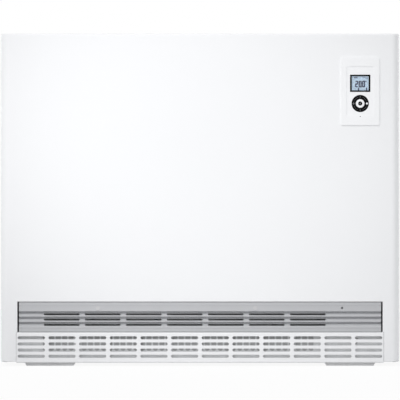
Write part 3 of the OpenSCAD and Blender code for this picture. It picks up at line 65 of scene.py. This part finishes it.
# Floor: just under the feet, so that the two never share a plane
FLOOR_HALF = 6.0
FLOOR_Z = -0.0002
FLOOR_LIT = 0.72
FLOOR_SEEN = 0.97
FLOOR_WHITE_SHARE = 0.91
FLOOR_ROUGH = 0.9
FLOOR_SPECULAR = 0.1


def add(name, data):
    obj = bpy.data.objects.new(name, data)
    scene.collection.objects.link(obj)
    return obj


def aim(obj, target):
    obj.rotation_euler = (Vector(target) - obj.location).to_track_quat("-Z", "Y").to_euler()


def make_camera():
    cam = bpy.data.cameras.new("camera")
    cam.sensor_width = SENSOR
    cam.lens = SENSOR * AWAY / SEEN_W
    cam.clip_end = CLIP_END
    obj = add("camera", cam)
    obj.location = (0.0, FRONT_Y - AWAY, MID_Z)
    aim(obj, (0.0, 0.0, MID_Z))
    scene.camera = obj


def hang(light, energy, place, target):
    """Sets a light's energy and hangs it at a place, turned towards the target."""
    light.energy = energy
    obj = add(light.name, light)
    obj.location = place
    aim(obj, target)


def lamp(name, place, target, power, size):
    light = bpy.data.lights.new(name, "AREA")
    light.shape = "RECTANGLE"
    light.size, light.size_y = size
    hang(light, power, place, target)


def sun(name, place, target, strength, angle):
    light = bpy.data.lights.new(name, "SUN")
    light.angle = math.radians(angle)
    hang(light, strength, place, target)


def spot(name, place, target, power, angle, radius):
    light = bpy.data.lights.new(name, "SPOT")
    light.spot_size = math.radians(angle)
    light.spot_blend = 1.0
    light.shadow_soft_size = radius
    hang(light, power, place, target)


def hang_lamps():
    """A spot, a side lamp and a low sun for the front, and four lamps for the back and the sides."""
    spot("key", (-0.7, -2.0, 0.75), (-0.01, -0.12, 0.45), power=50, angle=35, radius=0.10)
    lamp("side", (-2.6, -1.6, 1.9), (0, -0.1, 0.35), power=7, size=(0.5, 0.5))
    sun("top", (-0.45, -1.82, 2.43), (0, 0, 0.3), strength=1.18, angle=16)
    lamp("back_right", (2.6, 1.7, 0.9), (0.2, 0.1, 0.3), power=10, size=(0.8, 0.8))
    lamp("back_left", (-2.2, 2.0, 0.9), (-0.1, 0.1, 0.3), power=6, size=(0.8, 0.8))
    lamp("right", (2.2, 0.9, 0.6), (0.39, 0.05, 0.35), power=5, size=(0.6, 0.8))
    lamp("left", (-2.2, 0.9, 0.6), (-0.39, 0.05, 0.35), power=2.5, size=(0.6, 0.8))


def any_ray(tree, first, *others):
    """A socket that is 1 for a ray of any of the named kinds, and otherwise 0."""
    path = tree.nodes.new("ShaderNodeLightPath")
    value = path.outputs[first]
    for kind in others:
        either = tree.nodes.new("ShaderNodeMath")
        either.operation = "MAXIMUM"
        tree.links.new(value, either.inputs[0])
        tree.links.new(path.outputs[kind], either.inputs[1])
        value = either.outputs[0]
    return value


def make_world():
    """White where it is seen, mirrored or looked through to, and elsewhere a soft even light."""
    world = bpy.data.worlds.new("studio")
    scene.world = world
    world.use_nodes = True
    tree = world.node_tree
    tree.nodes.clear()
    new, link = tree.nodes.new, tree.links.new
    out = new("ShaderNodeOutputWorld")
    white = new("ShaderNodeBackground")
    lit = new("ShaderNodeBackground")
    mix = new("ShaderNodeMixShader")
    white.inputs["Color"].default_value = (1, 1, 1, 1)
    lit.inputs["Color"].default_value = WORLD_LIT + (1,)
    lit.inputs["Strength"].default_value = WORLD_STRENGTH
    link(any_ray(tree, "Is Camera Ray", "Is Glossy Ray", "Is Transmission Ray"), mix.inputs["Fac"])
    link(lit.outputs[0], mix.inputs[1])
    link(white.outputs[0], mix.inputs[2])
    link(mix.outputs[0], out.inputs["Surface"])


def make_floor():
    """Nearly white where it is seen or mirrored, with a faint shadow, and a plain grey to other light."""
    h, z = FLOOR_HALF, FLOOR_Z
    mesh = bpy.data.meshes.new("floor")
    mesh.from_pydata([(-h, -h, z), (h, -h, z), (h, h, z), (-h, h, z)], [], [(0, 1, 2, 3)])
    obj = add("floor", mesh)
    mat = bpy.data.materials.new("floor_white")
    mat.use_nodes = True
    tree = mat.node_tree
    new, link = tree.nodes.new, tree.links.new
    bsdf = tree.nodes["Principled BSDF"]
    bsdf.inputs["Roughness"].default_value = FLOOR_ROUGH
    bsdf.inputs["Specular IOR Level"].default_value = FLOOR_SPECULAR
    seen = any_ray(tree, "Is Camera Ray", "Is Glossy Ray")
    tone = new("ShaderNodeMix")
    tone.data_type = "RGBA"
    tone.inputs["A"].default_value = (FLOOR_LIT,) * 3 + (1,)
    tone.inputs["B"].default_value = (FLOOR_SEEN,) * 3 + (1,)
    link(seen, tone.inputs["Factor"])
    link(tone.outputs["Result"], bsdf.inputs["Base Color"])
    share = new("ShaderNodeMath")
    share.operation = "MULTIPLY"
    share.inputs[1].default_value = FLOOR_WHITE_SHARE
    link(seen, share.inputs[0])
    white = new("ShaderNodeEmission")
    mix = new("ShaderNodeMixShader")
    link(share.outputs[0], mix.inputs["Fac"])
    link(bsdf.outputs[0], mix.inputs[1])
    link(white.outputs[0], mix.inputs[2])
    link(mix.outputs[0], tree.nodes["Material Output"].inputs["Surface"])
    mesh.materials.append(mat)


# ---- Materials ----

COAT_ROUGH = 0.1
TINT_DETAIL = 4.0
GRAIN_DETAIL = 3.0
GRAIN_DEPTH = 0.0004


def surface(name, colour, rough, metallic=0.0, coat=0.0, specular=0.5, transmission=0.0, glow=0.0,
            tint=0.02, tint_scale=30, rough_swing=0.05, grain=0.05, grain_scale=900,
            spangle=0.0, spangle_scale=110, stretch=(1, 1, 1)):
    """A procedural material: slow colour drift, a fine bump and an uneven gloss, measured on the object."""
    mat = bpy.data.materials.new(name)
    mat.use_nodes = True
    tree = mat.node_tree
    new, link = tree.nodes.new, tree.links.new
    bsdf = tree.nodes["Principled BSDF"]
    bsdf.inputs["Metallic"].default_value = metallic
    bsdf.inputs["Coat Weight"].default_value = coat
    bsdf.inputs["Coat Roughness"].default_value = COAT_ROUGH
    bsdf.inputs["Specular IOR Level"].default_value = specular
    bsdf.inputs["Transmission Weight"].default_value = transmission
    place = new("ShaderNodeTexCoord")
    fit = new("ShaderNodeMapping")
    fit.inputs["Scale"].default_value = stretch
    link(place.outputs["Object"], fit.inputs["Vector"])

    # The drift, mixed with the cells of a zinc coat where there is one
    drift = new("ShaderNodeTexNoise")
    drift.inputs["Scale"].default_value = tint_scale
    drift.inputs["Detail"].default_value = TINT_DETAIL
    link(fit.outputs["Vector"], drift.inputs["Vector"])
    value = drift.outputs["Fac"]
    if spangle:
        cells = new("ShaderNodeTexVoronoi")
        cells.inputs["Scale"].default_value = spangle_scale
        link(fit.outputs["Vector"], cells.inputs["Vector"])
        grey = new("ShaderNodeSeparateColor")
        link(cells.outputs["Color"], grey.inputs["Color"])
        blend = new("ShaderNodeMix")
        blend.inputs["Factor"].default_value = spangle
        link(value, blend.inputs["A"])
        link(grey.outputs["Red"], blend.inputs["B"])
        value = blend.outputs["Result"]

    # It moves the colour and the gloss
    ramp = new("ShaderNodeMix")
    ramp.data_type = "RGBA"
    ramp.inputs["A"].default_value = tuple(c * (1 - tint) for c in colour) + (1,)
    ramp.inputs["B"].default_value = tuple(min(1.0, c * (1 + tint)) for c in colour) + (1,)
    link(value, ramp.inputs["Factor"])
    link(ramp.outputs["Result"], bsdf.inputs["Base Color"])
    span = new("ShaderNodeMapRange")
    span.inputs["To Min"].default_value = rough - rough_swing
    span.inputs["To Max"].default_value = rough + rough_swing
    link(value, span.inputs["Value"])
    link(span.outputs["Result"], bsdf.inputs["Roughness"])

    # The grain
    fine = new("ShaderNodeTexNoise")
    fine.inputs["Scale"].default_value = grain_scale
    fine.inputs["Detail"].default_value = GRAIN_DETAIL
    link(fit.outputs["Vector"], fine.inputs["Vector"])
    bump = new("ShaderNodeBump")
    bump.inputs["Strength"].default_value = grain
    bump.inputs["Distance"].default_value = GRAIN_DEPTH
    link(fine.outputs["Fac"], bump.inputs["Height"])
    link(bump.outputs["Normal"], bsdf.inputs["Normal"])
    if glow:
        link(ramp.outputs["Result"], bsdf.inputs["Emission Color"])
        bsdf.inputs["Emission Strength"].default_value = glow
    return mat


# The look of each material slot: colour and roughness, and what departs from the defaults
LOOKS = {
    "white_enamel": dict(
        colour=(0.885, 0.888, 0.90), rough=0.45, specular=0.4, tint=0.006, tint_scale=6, grain_scale=1400),
    "galvanised": dict(
        colour=(0.66, 0.67, 0.68), rough=0.42, metallic=0.30, tint=0.10, tint_scale=25, rough_swing=0.1,
        grain=0.04, grain_scale=500, spangle=0.55),
    "grey_enamel": dict(
        colour=(0.472, 0.477, 0.493), rough=0.42, metallic=0.25, tint_scale=40, grain=0.08, grain_scale=1800),
    "foot_grey": dict(
        colour=(0.93, 0.93, 0.935), rough=0.5, tint=0.03, grain=0.10, grain_scale=1200),
    "insulation": dict(
        colour=(0.74, 0.68, 0.56), rough=0.95, tint=0.08, tint_scale=70, rough_swing=0.03, grain=0.5,
        grain_scale=420),
    "wool": dict(
        colour=(0.68, 0.60, 0.36), rough=0.97, tint=0.20, tint_scale=160, rough_swing=0.02, grain=0.9,
        grain_scale=300, stretch=(0.35, 1, 1.6)),
    "brick": dict(
        colour=(0.075, 0.045, 0.036), rough=0.86, tint=0.35, tint_scale=220, grain=0.8, grain_scale=700),
    "element_steel": dict(
        colour=(0.16, 0.14, 0.125), rough=0.45, metallic=0.9, tint=0.25, tint_scale=60, rough_swing=0.12,
        grain=0.1),
    "bush_ceramic": dict(colour=(0.80, 0.76, 0.68), rough=0.3, coat=0.5, tint=0.03),
    "brass": dict(colour=(0.75, 0.55, 0.22), rough=0.3, metallic=1.0, tint=0.10, grain=0.08),
    "bright_steel": dict(
        colour=(0.52, 0.52, 0.53), rough=0.42, metallic=1.0, tint=0.06, tint_scale=120, grain=0.06,
        stretch=(1, 1, 6)),
    "wheel_aluminium": dict(
        colour=(0.62, 0.63, 0.65), rough=0.34, metallic=0.95, tint=0.06, tint_scale=90, grain=0.10,
        stretch=(0.2, 1, 1)),
    "lamination": dict(
        colour=(0.12, 0.125, 0.14), rough=0.5, metallic=0.6, tint=0.3, tint_scale=20, grain=0.7,
        grain_scale=500, stretch=(4, 0.1, 0.1)),
    "coil_tape": dict(
        colour=(0.42, 0.17, 0.06), rough=0.45, coat=0.3, tint=0.15, tint_scale=60, grain=0.5,
        grain_scale=260, stretch=(0.2, 3, 1)),
    "rubber_black": dict(colour=(0.025, 0.025, 0.027), rough=0.7, tint=0.2, grain=0.2),
    "bimetal": dict(
        colour=(0.50, 0.38, 0.20), rough=0.4, metallic=0.9, tint=0.15, stretch=(1, 0.1, 1)),
    "white_plastic": dict(
        colour=(0.905, 0.908, 0.92), rough=0.42, tint=0.006, tint_scale=12, grain=0.06, grain_scale=2400),
    "black_plastic": dict(
        colour=(0.002, 0.002, 0.0025), rough=0.12, specular=0.06, tint=0.2, rough_swing=0.02, grain=0.0),
    "window_clear": dict(
        colour=(0.95, 0.98, 1.0), rough=0.06, transmission=1.0, tint=0.004, rough_swing=0.02, grain=0.0),
    "display_glass": dict(colour=(0.66, 0.80, 0.93), rough=0.3, tint=0.01, grain=0.0),
    "grey_plastic": dict(
        colour=(0.45, 0.455, 0.46), rough=0.5, tint=0.03, grain=0.12, grain_scale=1500),
    "keypad_rubber": dict(colour=(0.11, 0.115, 0.12), rough=0.75, tint=0.08, grain=0.12),
    "board_green": dict(
        colour=(0.02, 0.11, 0.04), rough=0.35, coat=0.3, tint=0.25, tint_scale=260, grain=0.2,
        grain_scale=500),
    "terminal_ivory": dict(colour=(0.72, 0.67, 0.55), rough=0.45, tint=0.03, grain=0.08),
    "red_plastic": dict(colour=(0.55, 0.02, 0.015), rough=0.3, coat=0.3, tint=0.05, grain=0.04),
    "lead_brown": dict(colour=(0.12, 0.045, 0.02), rough=0.6, tint=0.1, grain=0.1),
}


def dress_nodes():
    finish = {slot: surface(slot, **look) for slot, look in LOOKS.items()}
    for name, obj in nodes.items():
        obj.data.materials.clear()
        obj.data.materials.append(finish[slot_of[name]])


# ---- Outlines in x and z ----

ROUND_STEPS = 20
RING_SWEEP = 359  # short of the full turn, so that a ring's outline is one loop
BAR_PAST_END = 0.3
BAR_POINT = 0.55

# Bars of a seven-segment digit in a cell 1 wide and 2 high: a top, b and c right, d bottom, e and f left,
# g middle
BARS = {
    "a": ((0, 2), (1, 2)), "b": ((1, 2), (1, 1)), "c": ((1, 1), (1, 0)), "d": ((0, 0), (1, 0)),
    "e": ((0, 1), (0, 0)), "f": ((0, 2), (0, 1)), "g": ((0, 1), (1, 1)),
}
DIGITS = {"0": "abcdef", "2": "abged"}


def rectangle(x0, z0, x1, z1):
    return [(x0, z0), (x1, z0), (x1, z1), (x0, z1)]


def disc(cx, cz, r, steps):
    angles = [2 * math.pi * i / steps for i in range(steps)]
    return [(cx + r * math.cos(a), cz + r * math.sin(a)) for a in angles]


def arc_band(cx, cz, r0, r1, a0, a1, steps):
    """A band from radius r0 to r1, over the angles from a0 to a1 in degrees."""
    angles = [math.radians(a0 + (a1 - a0) * i / steps) for i in range(steps + 1)]
    outer = [(cx + r1 * math.cos(a), cz + r1 * math.sin(a)) for a in angles]
    inner = [(cx + r0 * math.cos(a), cz + r0 * math.sin(a)) for a in reversed(angles)]
    return outer + inner


def ring(cx, cz, r0, r1):
    return arc_band(cx, cz, r0, r1, 0, RING_SWEEP, ROUND_STEPS)


def bar(x0, z0, x1, z1, w):
    """A bar w wide with pointed ends, from one point to another and a little past both."""
    dx, dz = x1 - x0, z1 - z0
    length = math.hypot(dx, dz)
    ux, uz = dx / length, dz / length
    px, pz = -uz, ux
    h = w / 2
    a, b = -BAR_PAST_END * w, length + BAR_PAST_END * w
    k = BAR_POINT * h
    pts = [(a, 0), (a + k, h), (b - k, h), (b, 0), (b - k, -h), (a + k, -h)]
    return [(x0 + ux * s + px * t, z0 + uz * s + pz * t) for s, t in pts]


def digit(char, x, z, w, h, thick, lean):
    """The bars of a digit with its lower left corner at (x, z), sheared to the right by lean."""
    out = []
    for key in DIGITS[char]:
        (ax, az), (bx, bz) = BARS[key]
        pts = bar(x + ax * w, z + az * h / 2, x + bx * w, z + bz * h / 2, thick)
        out.append([(px + (pz - z) * lean, pz) for px, pz in pts])
    return out


# ---- Small pieces ----

def plates(name, outlines, y, depth, mat, body):
    """One piece made of thin plates, a plate for each outline, with their fronts at y."""
    bm = bmesh.new()
    for outline in outlines:
        face = bm.faces.new([bm.verts.new((x, y, z)) for x, z in outline])
        out = bmesh.ops.extrude_face_region(bm, geom=[face])
        moved = [v for v in out["geom"] if isinstance(v, bmesh.types.BMVert)]
        bmesh.ops.translate(bm, verts=moved, vec=(0, depth, 0))
    bmesh.ops.recalc_face_normals(bm, faces=bm.faces)
    mesh = bpy.data.meshes.new(name)
    bm.to_mesh(mesh)
    bm.free()
    obj = add(name, mesh)
    mesh.materials.append(mat)
    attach(obj, body)


def middle(lo, hi):
    return (lo.x + hi.x) / 2, (lo.z + hi.z) / 2


# The display's face and what it shows, in mm from the window's middle
FACE_W, FACE_H, FACE_T = 33.6, 28.2, 0.4
FACE_BEHIND = 0.15
INK_PROUD, INK_T = 0.08, 0.1
DIGIT_BASE, DIGIT_H, DIGIT_STROKE, DIGIT_LEAN = -6.8, 10.6, 2.5, 0.03
DIGIT_ROW = (("2", -8.7, 3.3), ("0", -1.9, 3.6), ("0", 4.7, 3.7))  # character, left side, width
DEGREE_X, DEGREE_R0, DEGREE_R1 = 11.2, 0.6, 1.3
POINT_X, POINT_DROP, POINT_R, POINT_STEPS = 3.2, 0.65, 0.55, 12
SHORT_BARS = (  # x and z of one end and of the other, width
    (-11.6, 10.7, -5.2, 10.7, 1.9),
    (6.2, 11.6, 9.4, 11.6, 1.2),
    (10.4, 10.3, 14.8, 10.3, 1.3),
    (-3.4, -13.6, -3.4, -8.9, 2.4),
    (12.4, -13.4, 12.4, -8.9, 2.4),
)


def display_marks():
    lo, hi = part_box("display_window")
    cx, cz = middle(lo, hi)
    ink = surface("display_ink", (0.006, 0.02, 0.11), 0.4, tint=0.05, grain=0.0)
    face = surface("display_face", (0.56, 0.69, 0.82), 0.35, glow=0.12, tint=0.01, tint_scale=40, grain=0.0)
    w, h = FACE_W * MM, FACE_H * MM
    y = hi.y + FACE_BEHIND * MM
    plates("display_face", [rectangle(cx - w / 2, cz - h / 2, cx + w / 2, cz + h / 2)], y, FACE_T * MM,
           face, "casing")
    base, high = cz + DIGIT_BASE * MM, DIGIT_H * MM
    shapes = []
    for char, x, wide in DIGIT_ROW:
        shapes += digit(char, cx + x * MM, base, wide * MM, high, DIGIT_STROKE * MM, DIGIT_LEAN)
    shapes.append(ring(cx + DEGREE_X * MM, base + high, DEGREE_R0 * MM, DEGREE_R1 * MM))
    shapes.append(disc(cx + POINT_X * MM, base - POINT_DROP * MM, POINT_R * MM, POINT_STEPS))
    shapes += [bar(cx + x0 * MM, cz + z0 * MM, cx + x1 * MM, cz + z1 * MM, wide * MM)
               for x0, z0, x1, z1, wide in SHORT_BARS]
    plates("display_digits", shapes, y - INK_PROUD * MM, INK_T * MM, ink, "casing")


# The gauze, in mm: how far behind the screen's front, how far in from its ends, and its lower and upper
# edge over the screen's lower one
GAUZE_BEHIND, GAUZE_T = 1.4, 0.3
GAUZE_IN, GAUZE_LOW, GAUZE_HIGH = 12, 17, 55


def gauze_and_painted_shade():
    """A gauze sheet behind the screen's holes; its plain grey is painted shade, its fine mottle the woven
    mesh.
    """
    lo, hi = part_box("intake_screen")
    # The sheet's plain grey is painted shade: it stands for the shade seen through the screen's holes.
    gauze_shade = surface("gauze", (0.42, 0.425, 0.43), 0.5, metallic=0.2, tint=0.55, tint_scale=900, grain=0.4,
                    grain_scale=2600)
    outline = rectangle(lo.x + GAUZE_IN * MM, lo.z + GAUZE_LOW * MM, hi.x - GAUZE_IN * MM,
                        lo.z + GAUZE_HIGH * MM)
    plates("gauze_and_painted_shade", [outline], lo.y + GAUZE_BEHIND * MM, GAUZE_T * MM, gauze_shade, "casing")


# The marks on the ring and the tick on the button, in mm from the ring's middle
MARK_R = 13.1
DOT_R, DOT_PROUD, DOT_T = 2.0, 0.03, 0.08
FAINT_PROUD, FAINT_T = 0.02, 0.07
ARROW_HALF, ARROW_BASE, ARROW_TIP = 1.3, 0.6, 0.8  # the last two as shares of the first
CIRCLE_R0, CIRCLE_R1 = 0.6, 1.9
ARC_R0, ARC_R1, ARC_HALF, ARC_STEPS = 12.9, 13.2, 27, 16
ARC_MIDDLES = (45, 135, 225, 315)
TICK = ((-1.5, 0.1), (-0.5, -1.1), (1.5, 1.1), (1.25, 1.35), (-0.5, -0.65), (-1.25, 0.35))


def ring_marks():
    """A white dot at the ring's right, faint marks at its other sides and between them, and the tick."""
    lo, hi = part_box("control_ring")
    cx, cz = middle(lo, hi)
    pale = surface("mark_white", (0.85, 0.86, 0.88), 0.5, tint=0.01, grain=0.0)
    grey = surface("mark_grey", (0.15, 0.152, 0.156), 0.5, grain=0.0)
    r = MARK_R * MM
    plates("ring_marks", [disc(cx + r, cz, DOT_R * MM, ROUND_STEPS)], lo.y - DOT_PROUD * MM, DOT_T * MM,
           pale, "ring")
    d = ARROW_HALF * MM
    base, tip = d * ARROW_BASE, d * ARROW_TIP
    faint = [
        [(cx - d, cz + r - base), (cx + d, cz + r - base), (cx, cz + r + tip)],
        [(cx - d, cz - r + base), (cx, cz - r - tip), (cx + d, cz - r + base)],
        ring(cx - r, cz, CIRCLE_R0 * MM, CIRCLE_R1 * MM),
    ]
    faint += [arc_band(cx, cz, ARC_R0 * MM, ARC_R1 * MM, a - ARC_HALF, a + ARC_HALF, ARC_STEPS)
              for a in ARC_MIDDLES]
    plates("ring_arcs", faint, lo.y - FAINT_PROUD * MM, FAINT_T * MM, grey, "ring")
    lo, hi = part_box("button_cap")
    tick = [(cx + x * MM, cz + z * MM) for x, z in TICK]
    plates("button_tick", [tick[:2] + tick[4:], tick[1:5]], lo.y - FAINT_PROUD * MM, FAINT_T * MM,
           pale, "button")


make_camera()
make_world()
make_floor()
hang_lamps()
dress_nodes()
display_marks()
gauze_and_painted_shade()
ring_marks()

scene.view_settings.view_transform = "Standard"
